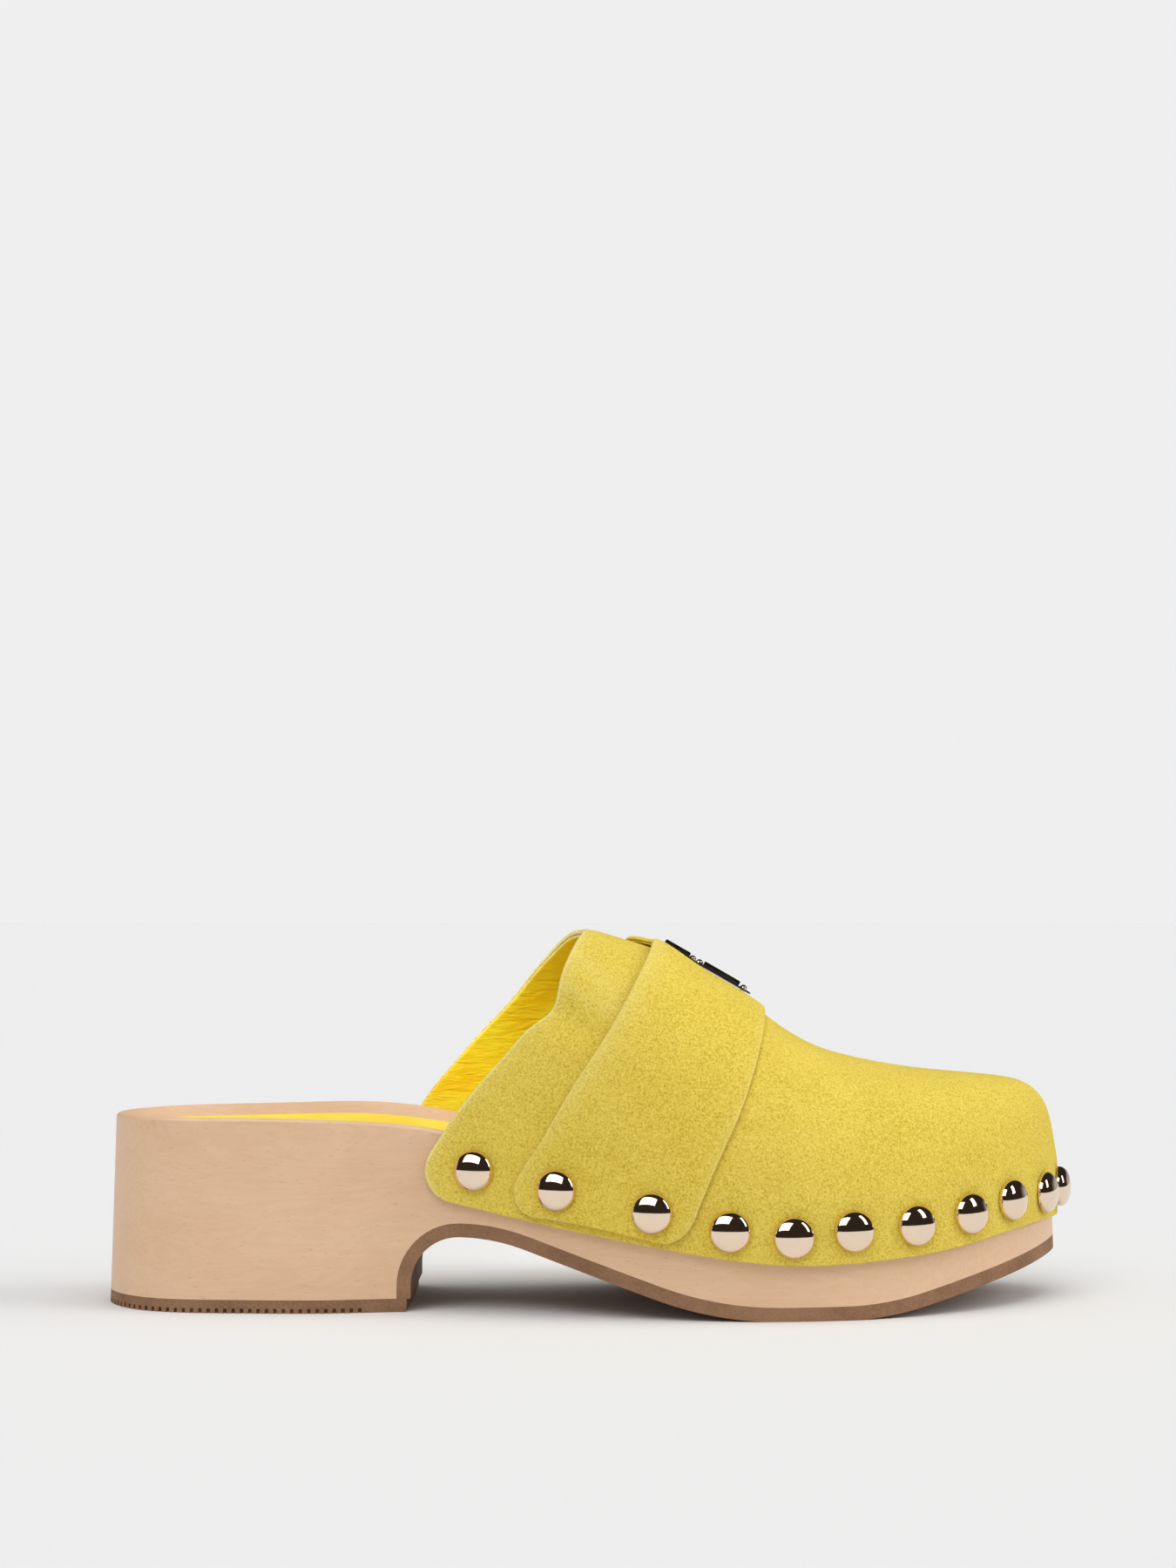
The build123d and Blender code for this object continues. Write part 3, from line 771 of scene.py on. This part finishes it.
def strap_grid(rows=64, cols=161):
    """Grid over the strap from its rear edge to its front edge, and each row's share of it."""
    half = even(cols // 2 + 1, 1 - STRAP_LAST_COLUMN)
    ends = []
    for points in (NEAR_STRAP_REAR, FAR_STRAP_REAR, STRAP_FRONT):
        curve = side_curve(points, 1, 900)
        walk = distance_along(curve)
        walk /= walk[-1]
        ends.append((np.interp(half, walk, curve[:, 0]), np.interp(half, walk, curve[:, 1])))
    (near_a, near_w), (far_a, far_w), (front_a, front_w) = ends
    row = even(rows, STRAP_EDGE_ROW, 1 - STRAP_EDGE_ROW)[:, None]

    def both(near, far, sign):
        return np.concatenate([sign * near[::-1], far[1:]])[None, :]

    rear_a, rear_w = both(near_a, far_a, 1), both(near_w, far_w, -1)
    a = rear_a + (both(front_a, front_a, 1) - rear_a) * row
    w = rear_w + (both(front_w, front_w, -1) - rear_w) * row
    return a, w, row


STRAP_WIDTH = 30.0


def strap_lift(w, row):
    """The strap's rear edge stands off the vamp over the instep."""
    back = bump_at(row * STRAP_WIDTH, 7.0)
    return (1.1 * bump_at(w + 0.08, 0.09) + 0.7 * bump_at(np.abs(w) - 0.3, 0.25)) * back


def build_strap(m):
    """Suede strap and the thin leather behind it, which stops short of the strap's edges."""
    a, w, row = strap_grid()
    base, normal = upper_point(a, w), upper_normal(a, w)
    lift = strap_lift(w, row) + dimples(base + normal * STRAP_OUT, STRAP_DIMPLE)
    base = base + normal * lift[..., None]
    # Painted highlight: the outer face is paler in a band along the folded rear edge, more so in
    # the upper half where the light falls on the fold. The thin pale line along the front edge is
    # the cut edge's own colour.
    upper_half = smooth(base[..., 2], 35, 65)
    rear_highlight = (0.35 + 0.5 * upper_half) * np.exp(-row * STRAP_WIDTH / 2.4)
    wear_and_highlight = rear_highlight + 0.5 * np.exp(-(1 - row) * STRAP_WIDTH / 0.9)
    obj = shell("suede_strap", base, normal, SUEDE_OUT + STRAP_BACK, STRAP_OUT,
                [m["suede"], m["strap_edge"], m["suede"]], round_rear=True, wear_and_highlight_grid=wear_and_highlight)
    ride(obj, "strap")
    within = (slice(2, -2), slice(2, -2))
    gap = 0.02
    obj = shell("strap_backing", base[within], normal[within], SUEDE_OUT + gap,
                SUEDE_OUT + STRAP_BACK - gap, [m["lining"]] * 3)
    ride(obj, "strap_lining")


def revolve(profile, segments=56):
    """Closed lathe of (radius, height) points whose first and last are on the axis."""
    inner = profile[1:-1]
    points = [(0, 0, profile[0][1])]
    for r, z in inner:
        for k in range(segments):
            t = 2 * math.pi * k / segments
            points.append((r * math.cos(t), r * math.sin(t), z))
    points.append((0, 0, profile[-1][1]))
    faces = [(0, 1 + k, 1 + (k + 1) % segments) for k in range(segments)]
    faces += grid_faces(len(inner), segments, 1, close=True)
    last = 1 + (len(inner) - 1) * segments
    end = len(points) - 1
    faces += [(end, last + (k + 1) % segments, last + k) for k in range(segments)]
    return np.array(points, float), faces


def turned(points, axis, seat):
    """Points with z along axis, moved to seat."""
    turn = Vector(axis).to_track_quat("Z", "Y").to_matrix()
    return points @ np.array(turn).T + seat


def stud_profile(length):
    """Dome with a rolled rim, hollow behind, and a pointed shank, as (radius, height)."""
    dome = [(STUD_RADIUS * math.sin(t), STUD_RISE * math.cos(t) ** DOME_POWER)
            for t in np.linspace(0, math.pi / 2, 30)]
    rim = [(5.33, -0.16), (5.24, -0.34), (5.0, -0.42), (4.6, -0.36), (4.2, -0.1), (3.6, 0.5),
           (2.4, 1.3), (1.3, 1.5), (0.85, 1.2), (0.8, 0.6)]
    tip = STUD_RISE - length
    shank = [(0.8, -0.5), (0.8, tip + 1.7), (0.55, tip + 0.9), (0.12, tip + 0.05), (0, tip)]
    return dome + rim + shank


def build_studs(m):
    """A dome nail in place of each CAD nail."""
    for name, top, axis, length in STUDS:
        points, faces = revolve(stud_profile(length))
        points = turned(points, axis, top - axis * (STUD_RISE + STUD_GAP))
        obj = new_mesh("dome_" + name, points, faces, None, [m["stud"]], sharp_angle=50)
        ride(obj, name)


SPOKES = 360
RINGS = 26


def plan_disc(inset):
    """Plan positions inside the outline as spokes from its edge to the clog's long middle line."""
    run = np.linspace(0, RUN[-1], SPOKES, endpoint=False)
    at, out = on_outline(run)
    at = at - out * inset
    front, rear = 221.0, 30.0
    past = np.maximum(at[:, 0] - FAN_X, 0)
    x = np.clip(at[:, 0], rear, FAN_X) + (front - FAN_X) * np.tanh(past / (front - FAN_X))
    spine = np.stack([x, ridge_y(x)], 1)
    t = np.linspace(0, 1, RINGS) ** 1.15
    return at[None] + (spine - at)[None] * t[:, None, None]


RIM_RISE = 2.2                # the rim of the waist stands higher by this much,
OUTER_SHARE = -0.6            # times this share far out on the outer side
INNER_SHARE = 1.6             # and this one far out on the inner side
SHARE_Y = 60.0
WAIST_X = 80.0
WAIST_REACH = 30.0
HEEL_DISH = 7.0               # how far the footbed sinks below its rim under the heel
TOE_DISH = 4.0
DISH_POWER = 4
DISH_REACH = 27.0             # distance from the rim at which the footbed is flat
RIM_LAND = 1.6


def rim_height(x, y):
    """Height of the footbed's rim, carried across the clog."""
    share = OUTER_SHARE + (INNER_SHARE - OUTER_SHARE) * (y + SHARE_Y) / (2 * SHARE_Y)
    return rim_line(x) + share * RIM_RISE * bump_at(x - WAIST_X, WAIST_REACH)


def dish_height(plan):
    """Height of the sunk footbed at plan positions."""
    x, y = plan[..., 0], plan[..., 1]
    flat = plan.reshape(-1, 2)
    line = OUTLINE[::6]
    gap = np.array([np.min(np.hypot(line[:, 0] - px, line[:, 1] - py)) for px, py in flat])
    left = np.maximum(1 - (gap.reshape(x.shape) - RIM_LAND) / DISH_REACH, 0)
    depth = HEEL_DISH + (TOE_DISH - HEEL_DISH) * smooth(x, 80, 150)
    return rim_height(x, y) - depth * (1 - left ** DISH_POWER)


def disc_shell(name, inset, low, high, materials):
    """Thin sheet lying on the footbed, with a rounded edge."""
    edge = 0.35
    plan, plan_in = plan_disc(inset), plan_disc(inset + edge)
    ground, ground_in = dish_height(plan), dish_height(plan_in)
    top = np.concatenate([plan_in, (ground_in + high)[..., None]], -1)
    mid_out = np.concatenate([plan[0], (ground[0] + high - edge)[:, None]], -1)
    mid_low = np.concatenate([plan[0], (ground[0] + low)[:, None]], -1)
    bottom = np.concatenate([plan, (ground + low)[..., None]], -1)
    rows = [*top[::-1], mid_out, mid_low, *bottom[1:]]
    faces = grid_faces(len(rows), SPOKES, close=True)
    return new_mesh(name, np.concatenate(rows), faces, None, materials, sharp_angle=60, weld=1e-3)


SOCK_MARGIN = 8.6             # bare wood between the rim and the sock lining
FOAM_MARGIN = 9.0
FOAM = 1.5
SOCK = 1.0
FOAM_GAP = 0.03


def build_footbed(m):
    """Foam pad and leather sock."""
    obj = disc_shell("foam_layer", FOAM_MARGIN, FOAM_GAP, FOAM - FOAM_GAP, [m["foam"]])
    ride(obj, "foam_pad")
    obj = disc_shell("leather_sock", SOCK_MARGIN, FOAM, FOAM + SOCK, [m["sock"]])
    ride(obj, "sock_lining")


def block(size, bevel):
    """Bar with a bevelled top, as points and faces, centred on its base."""
    bm = bmesh.new()
    bmesh.ops.create_cube(bm, size=1.0)
    bmesh.ops.scale(bm, verts=bm.verts, vec=size)
    bmesh.ops.translate(bm, verts=bm.verts, vec=(0, 0, size[2] / 2))
    edges = [e for e in bm.edges if all(v.co.z > size[2] / 2 for v in e.verts)]
    bmesh.ops.bevel(bm, geom=edges, offset=bevel, segments=4, profile=0.5, affect="EDGES")
    bm.verts.index_update()
    points = np.array([v.co for v in bm.verts])
    faces = [tuple(v.index for v in f.verts) for f in bm.faces]
    bm.free()
    return points, faces


def slot_plate(length, width, thick, bevel):
    """Plate with round ends and softened edges."""
    r = width / 2
    turns = np.linspace(-math.pi / 2, math.pi / 2, 25)
    half = [(length / 2 - r + r * math.cos(t), r * math.sin(t)) for t in turns]
    ring = np.array(half + [(-x, -y) for x, y in half])
    away = ring / np.linalg.norm(ring, axis=1, keepdims=True)
    centre = np.zeros((1, 3))
    rows = []
    for inset, z in ((bevel, 0), (bevel * 0.3, bevel * 0.3), (0, bevel), (0, thick - bevel),
                     (bevel * 0.3, thick - bevel * 0.3), (bevel, thick)):
        rows.append(np.concatenate([ring - away * inset, np.full((len(ring), 1), z)], 1))
    points = np.concatenate(rows + [centre, centre + [0, 0, thick]])
    n = len(ring)
    faces = grid_faces(len(rows), n, close=True)
    low, high = len(rows) * n, len(rows) * n + 1
    faces += [(low, (k + 1) % n, k) for k in range(n)]
    last = (len(rows) - 1) * n
    faces += [(high, last + k, last + (k + 1) % n) for k in range(n)]
    return points, faces


ORNAMENT_SLOPE = 30.0
PLATE = (27.0, 6.4, 0.5)
BAR_WIDTH = 4.6
BAR_HEIGHT = 1.2
REAR_BAR = (-9.0, 7.4)        # centre along the plate, length
FRONT_BAR = (4.3, 10.6)
BEAD_X = -2.15
RIVETS = {"rear": -4.2, "front": 11.2}
RIVET_STEM = 0.6
RIVET_REACH = 1.9
SMALL_SEGMENTS = 40


def ornament_place():
    """Layout centre and directions of the ornament, from its CAD plate."""
    low, high = (np.array(c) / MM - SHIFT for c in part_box("ornament_plate"))
    centre = (low + high) / 2
    slope = math.radians(ORNAMENT_SLOPE)
    x = np.array([math.cos(slope), 0, -math.sin(slope)])
    z = np.array([math.sin(slope), 0, math.cos(slope)])
    return centre, x, np.array([0, 1.0, 0]), z


def build_ornament(m):
    """Dark plate and bars with a bright bead and rivets between them."""
    centre, x, y, z = ornament_place()
    thick = PLATE[2]

    def put(name, shape, at, lift, metal):
        points, faces = shape
        p = centre + np.outer(points[:, 0] + at, x) + np.outer(points[:, 1], y)
        p = p + np.outer(points[:, 2] + lift - thick / 2, z)
        obj = new_mesh("trim_" + name, p, faces, None, [m[metal]], sharp_angle=40)
        ride(obj, "ornament_" + name)

    put("plate", slot_plate(*PLATE, 0.15), 0, 0, "dark_metal")
    for name, (at, length) in (("bar_rear", REAR_BAR), ("bar_front", FRONT_BAR)):
        put(name, block((length, BAR_WIDTH, BAR_HEIGHT), 0.35), at, thick, "dark_metal")
    dome = [(math.sin(t), math.cos(t)) for t in np.linspace(0.1, math.pi / 2, 12)]
    bead = [(0, 1.0)] + dome + [(0, 0)]
    put("bead", revolve(bead, SMALL_SEGMENTS), BEAD_X, thick, "ornament")
    stem = [(RIVET_STEM, -0.02), (RIVET_STEM, -RIVET_REACH), (0, -RIVET_REACH)]
    rivet = revolve(bead[:-1] + stem, SMALL_SEGMENTS)
    for end, at in RIVETS.items():
        put("rivet_" + end, rivet, at, thick, "ornament")


# ---------------------------------------------------------------- camera, light, floor
FLOOR_GREY = 0.775
FLOOR_SIZE = 60.0             # metres from the middle to each side
BACKGROUND = srgb(239, 239, 239)
EYE = (126.2, -757.0, 100.0)  # layout millimetres: level with the instep, square to the side
LENS = 65.9
SHIFT_Y = 0.086

# Strength of the even light on matt faces, and what shiny faces see of the room and the sweep.
DAYLIGHT = 0.46
DARK_ROOM = (0.028, 0.022, 0.018, 1)
SWEEP = (0.45, 0.45, 0.45, 1)

# Name, direction towards the light, strength, and the light's width in degrees.
SUNS = [("front_left", (-0.25, -0.60, 0.78), 0.88, 40),
        ("right", (0.85, -0.12, 0.52), 1.08, 40),
        ("overhead", (0.1, -0.1, 1.0), 0.78, 50)]

# Name, direction towards the card, its width and height in metres, and its power.
CARDS = [("card_top", (-0.44, -0.59, 0.68), (1.25, 0.78), 8),
         ("card_right", (0.76, -0.34, 0.55), (0.26, 0.75), 2.2)]
CARD_DISTANCE = 1.2
CARD_AIM = Vector((0.03, 0, 0.04))


def build_camera():
    """Camera level with the instep, looking square at the outer side."""
    data = bpy.data.cameras.new("camera")
    data.sensor_width = 36.0
    data.lens = LENS
    data.shift_y = SHIFT_Y
    camera = bpy.data.objects.new("camera", data)
    camera.location = to_row(EYE)[0]
    camera.rotation_euler = (math.radians(90), 0, 0)
    bpy.context.scene.collection.objects.link(camera)
    bpy.context.scene.camera = camera


def build_floor():
    """Plain pale floor."""
    size = FLOOR_SIZE
    mesh = bpy.data.meshes.new("floor")
    mesh.from_pydata([(-size, -size, 0), (size, -size, 0), (size, size, 0), (-size, size, 0)],
                     [], [(0, 1, 2, 3)])
    n = Nodes("floor_paint")
    mesh.materials.append(n.finish((FLOOR_GREY,) * 3 + (1,), 0.95, None, Specular_IOR_Level=0.0))
    floor = bpy.data.objects.new("floor", mesh)
    bpy.context.scene.collection.objects.link(floor)


def softbox(name, direction, size, power):
    """Reflection card: it shows in shiny faces and lights nothing else."""
    data = bpy.data.lights.new(name, "AREA")
    data.shape = "RECTANGLE"
    data.size, data.size_y = size
    data.energy = power
    light = bpy.data.objects.new(name, data)
    towards = Vector(direction).normalized()
    light.location = CARD_AIM + towards * CARD_DISTANCE
    light.rotation_euler = towards.to_track_quat("Z", "Y").to_euler()
    light.visible_diffuse = False
    light.visible_camera = False
    bpy.context.scene.collection.objects.link(light)


def soft_sun(name, direction, power, spread):
    """Broad light on matt faces, kept out of reflections."""
    data = bpy.data.lights.new(name, "SUN")
    data.energy = power
    data.angle = math.radians(spread)
    sun = bpy.data.objects.new(name, data)
    sun.rotation_euler = Vector(direction).to_track_quat("Z", "Y").to_euler()
    sun.visible_glossy = False
    bpy.context.scene.collection.objects.link(sun)


def lining_fill():
    """A small spot over the heel that lights the lining of the inner side."""
    data = bpy.data.lights.new("lining_fill", "SPOT")
    data.energy = 0.34
    data.spot_size = math.radians(36)
    data.spot_blend = 1.0
    data.shadow_soft_size = 0.02
    spot = bpy.data.objects.new("lining_fill", data)
    place, aim = to_row([(30, -55, 150), (104, 26, 66)])
    spot.location = place
    spot.rotation_euler = Vector(place - aim).to_track_quat("Z", "Y").to_euler()
    spot.visible_glossy = False
    bpy.context.scene.collection.objects.link(spot)


def mirrored_colour(tree):
    """What shiny faces see: a dark room, and low down behind the clog a pale sweep."""
    way = tree.nodes.new("ShaderNodeTexCoord")
    parts = tree.nodes.new("ShaderNodeSeparateXYZ")
    tree.links.new(way.outputs["Generated"], parts.inputs[0])
    both = tree.nodes.new("ShaderNodeMath")
    both.operation = "MULTIPLY"
    for socket, (axis, start, end) in zip(both.inputs, (("Y", 0.1, 0.6), ("Z", 0.40, 0.12))):
        share = tree.nodes.new("ShaderNodeMapRange")
        share.interpolation_type = "SMOOTHSTEP"
        share.inputs["From Min"].default_value = start
        share.inputs["From Max"].default_value = end
        tree.links.new(parts.outputs[axis], share.inputs["Value"])
        tree.links.new(share.outputs["Result"], socket)
    room = tree.nodes.new("ShaderNodeMix")
    room.data_type = "RGBA"
    room.inputs[6].default_value = DARK_ROOM
    room.inputs[7].default_value = SWEEP
    tree.links.new(both.outputs[0], room.inputs[0])
    return room.outputs[2]


def build_world():
    """Even light on matt faces, a plain backdrop, and the dark room in shiny faces."""
    world = bpy.data.worlds.new("studio")
    world.use_nodes = True
    bpy.context.scene.world = world
    tree = world.node_tree
    seen = tree.nodes["Background"]
    seen.inputs["Color"].default_value = BACKGROUND
    lit = tree.nodes.new("ShaderNodeBackground")
    lit.inputs["Color"].default_value = (1.0, 1.0, 1.0, 1)
    lit.inputs["Strength"].default_value = DAYLIGHT
    mirrored = tree.nodes.new("ShaderNodeBackground")
    tree.links.new(mirrored_colour(tree), mirrored.inputs["Color"])
    path = tree.nodes.new("ShaderNodeLightPath")
    choice = lit.outputs[0]
    for ray, shown in (("Is Camera Ray", seen), ("Is Glossy Ray", mirrored)):
        mix = tree.nodes.new("ShaderNodeMixShader")
        tree.links.new(path.outputs[ray], mix.inputs[0])
        tree.links.new(choice, mix.inputs[1])
        tree.links.new(shown.outputs[0], mix.inputs[2])
        choice = mix.outputs[0]
    tree.links.new(choice, tree.nodes["World Output"].inputs["Surface"])


def build_light():
    """World, suns, reflection cards and the fill for the lining."""
    bpy.context.scene.view_settings.view_transform = "Standard"
    bpy.context.scene.view_settings.look = "None"
    build_world()
    for sun in SUNS:
        soft_sun(*sun)
    for card in CARDS:
        softbox(*card)
    lining_fill()


# ---------------------------------------------------------------- build
materials = make_materials()
build_vamp(materials)
build_puff(materials)
build_strap(materials)
build_studs(materials)
build_footbed(materials)
build_ornament(materials)

for node, material in (("wooden_sole", "wood"), ("outsole", "rubber"), ("heel_lift", "rubber"),
                       ("ornament_clinch_plate", "ornament")):
    shown = frame["nodes"][node].data.materials
    shown.clear()
    shown.append(materials[material])

build_camera()
build_floor()
build_light()
